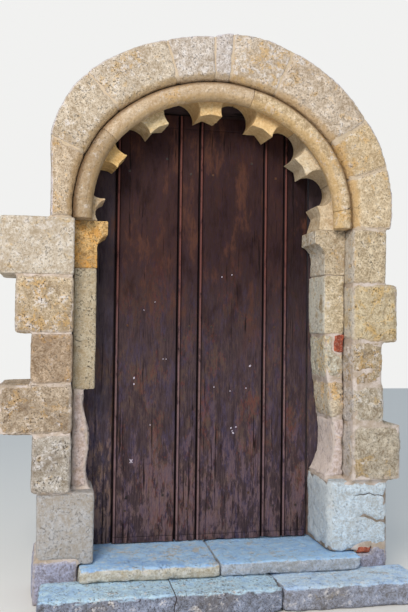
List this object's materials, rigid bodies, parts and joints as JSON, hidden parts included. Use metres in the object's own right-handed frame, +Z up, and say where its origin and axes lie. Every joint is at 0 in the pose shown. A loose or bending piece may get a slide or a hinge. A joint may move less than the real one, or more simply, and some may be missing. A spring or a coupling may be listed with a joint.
{
  "type": "arched wooden door with its frame",
  "caption": "Old boarded door that opens inward behind a round stone arch with a cusped inner order, a roll moulding, jambs, imposts, plinths and steps, with the timber frame it hangs in.",
  "frame": {"origin": "on the ground, in the plane of the outer stones' front faces, in the middle of the way through", "axes": "+Z up, -Y out of the front towards whoever comes in, +X to the right seen from the front"},
  "size_m": [2.275, 0.781, 3.1299],
  "materials": {
    "arch_stone": "weathered limestone, pitted",
    "roll_stone": "weathered limestone, smooth",
    "cusp_stone": "carved limestone, weathered",
    "inner_jamb_stone": "eroded limestone",
    "outer_jamb_stone": "weathered limestone, pitted",
    "plinth_stone": "worn limestone",
    "step_stone": "worn tread",
    "brick": "rough",
    "frame_timber": "weathered",
    "door_boards": "old dark paint, worn",
    "ledge_timber": "bare, dry",
    "forged_iron": "forged, rusted"
  },
  "bodies": {
    "frame": {"voussoir_1": "arch_stone", "voussoir_2": "arch_stone", "voussoir_3": "arch_stone", "voussoir_4": "arch_stone", "voussoir_5": "arch_stone", "voussoir_6": "arch_stone", "voussoir_7": "arch_stone", "voussoir_8": "arch_stone", "voussoir_9": "arch_stone", "roll_1": "roll_stone", "roll_2": "roll_stone", "roll_3": "roll_stone", "roll_4": "roll_stone", "cusp_1": "cusp_stone", "cusp_2": "cusp_stone", "cusp_3": "cusp_stone", "cusp_4": "cusp_stone", "cusp_5": "cusp_stone", "cusp_6": "cusp_stone", "cusp_7": "cusp_stone", "impost_left": "cusp_stone", "impost_right": "cusp_stone", "inner_jamb_left_1": "inner_jamb_stone", "inner_jamb_left_2": "inner_jamb_stone", "inner_jamb_right_1": "inner_jamb_stone", "inner_jamb_right_2": "inner_jamb_stone", "inner_jamb_right_3": "inner_jamb_stone", "inner_jamb_right_4": "inner_jamb_stone", "outer_jamb_left_1": "outer_jamb_stone", "outer_jamb_left_2": "outer_jamb_stone", "outer_jamb_left_3": "outer_jamb_stone", "outer_jamb_left_4": "outer_jamb_stone", "outer_jamb_left_5": "outer_jamb_stone", "outer_jamb_right_1": "outer_jamb_stone", "outer_jamb_right_2": "outer_jamb_stone", "outer_jamb_right_3": "outer_jamb_stone", "outer_jamb_right_4": "outer_jamb_stone", "outer_jamb_right_5": "outer_jamb_stone", "plinth_left": "plinth_stone", "plinth_right": "plinth_stone", "base_stones": "plinth_stone", "lower_step_left": "step_stone", "lower_step_right": "step_stone", "upper_step_left": "step_stone", "upper_step_right": "step_stone", "brick_packing": "brick", "post_left": "frame_timber", "post_right": "frame_timber", "head": "frame_timber", "pintles": "forged_iron"},
    "leaf": {"board_1": "door_boards", "board_2": "door_boards", "board_3": "door_boards", "board_4": "door_boards", "board_5": "door_boards", "ledges": "ledge_timber", "clench_nails": "forged_iron", "strap_hinges": "forged_iron", "bolt_staples": "forged_iron"},
    "bolt": {"bolt": "forged_iron"}
  },
  "joints": [
    {"name": "leaf_hinge", "type": "hinge", "parent": "frame", "child": "leaf", "pos_m": [-0.566, 0.485, 1.439], "axis": [0, 0, 1], "range_deg": [0, 95]},
    {"name": "bolt_slide", "type": "slide", "parent": "leaf", "child": "bolt", "axis": [1, 0, 0], "range_m": [0, 0.06]}
  ]
}
